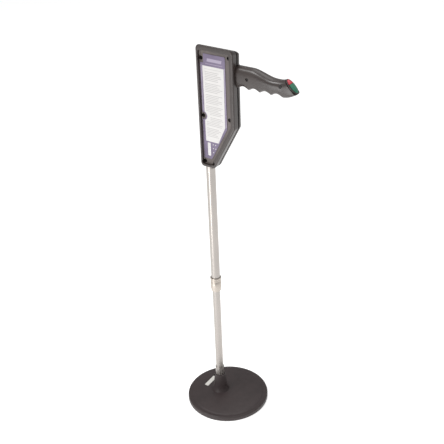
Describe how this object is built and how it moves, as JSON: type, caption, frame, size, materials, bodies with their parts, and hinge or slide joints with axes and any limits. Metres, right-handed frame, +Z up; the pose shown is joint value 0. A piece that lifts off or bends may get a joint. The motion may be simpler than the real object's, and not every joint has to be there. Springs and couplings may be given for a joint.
{
  "type": "pole-mounted microchip scanner",
  "caption": "Walk-along tag reader: round antenna foot, telescopic aluminium pole with a twist lock, flat head case with a labelled face, and a pistol grip with red and green buttons.",
  "frame": {"origin": "on the floor, on the axis of the pole", "axes": "+Z up along the pole; +X from the pole towards the grip; the labelled face of the head looks along -Y"},
  "size_m": [0.2541, 0.1714, 0.786],
  "materials": {
    "case_plastic": "fine moulded texture, dark brown-black",
    "foot_plastic": "smooth dark brown-black",
    "aluminium": "satin anodised",
    "collar_metal": "satin, slightly warmer than the tubes",
    "steel": "plain",
    "gasket_rubber": "plain",
    "label": "printed film",
    "sticker": "blank film",
    "red_plastic": "smooth",
    "green_plastic": "smooth",
    "nylon": "plain",
    "copper": "enamelled winding",
    "board": "circuit board",
    "chip": "plain",
    "cell": "wrapped cell",
    "cable": "plain"
  },
  "bodies": {
    "foot": {"antenna_cover": "foot_plastic", "antenna_base": "foot_plastic", "antenna_coil": "copper", "coil_board": "board", "tuning_capacitor": "chip", "base_screw_1": "steel", "base_screw_2": "steel", "base_screw_3": "steel", "base_screw_4": "steel", "disc_sticker": "sticker", "pole_ferrule": "aluminium", "ferrule_screw": "steel", "lower_tube": "aluminium", "guide_bush": "nylon", "antenna_lead": "cable"},
    "head": {"upper_tube": "aluminium", "lock_body": "collar_metal", "lock_wedge": "nylon", "pole_spigot": "aluminium", "front_shell": "case_plastic", "rear_shell": "case_plastic", "case_gasket": "gasket_rubber", "case_screw_1": "steel", "case_screw_2": "steel", "case_screw_3": "steel", "case_screw_4": "steel", "case_screw_5": "steel", "case_screw_6": "steel", "face_label": "label", "main_board": "board", "processor_chip": "chip", "radio_chip": "chip", "pole_plug": "nylon", "grip_plug": "nylon", "sounder": "chip", "battery_tray": "case_plastic", "battery_cell_1": "cell", "battery_cell_2": "cell", "battery_cell_3": "cell", "battery_cell_4": "cell", "lower_contact": "steel", "upper_contact": "steel", "grip_front_half": "case_plastic", "grip_rear_half": "case_plastic", "grip_spigot": "aluminium", "grip_screw_1": "steel", "grip_screw_2": "steel", "button_bezel": "case_plastic", "switch_board": "board", "red_switch": "chip", "green_switch": "chip", "grip_lead": "cable", "head_lead": "cable", "coiled_lead": "cable"},
    "collar": {"lock_collar": "collar_metal"},
    "door": {"battery_door": "case_plastic"},
    "red_key": {"red_button": "red_plastic"},
    "green_key": {"green_button": "green_plastic"}
  },
  "joints": [
    {"name": "pole_telescope", "type": "slide", "parent": "foot", "child": "head", "axis": [0, 0, 1], "range_m": [-0.12, 0.04], "deforming": ["coiled_lead"]},
    {"name": "collar_twist", "type": "hinge", "parent": "head", "child": "collar", "pos_m": [0, 0, 0.28], "axis": [0, 0, 1], "range_deg": [0, 90]},
    {"name": "door_swing", "type": "hinge", "parent": "head", "child": "door", "pos_m": [0.0235, 0.0208, 0.6336], "axis": [-1, 0, 0], "range_deg": [0, 110]},
    {"name": "red_press", "type": "slide", "parent": "head", "child": "red_key", "axis": [-0.7071, 0, -0.7071], "range_m": [0, 0.0012], "stiffness_N_per_m": 400, "springref_m": -0.0005},
    {"name": "green_press", "type": "slide", "parent": "head", "child": "green_key", "axis": [-0.7071, 0, -0.7071], "range_m": [0, 0.0012], "stiffness_N_per_m": 400, "springref_m": -0.0005}
  ]
}
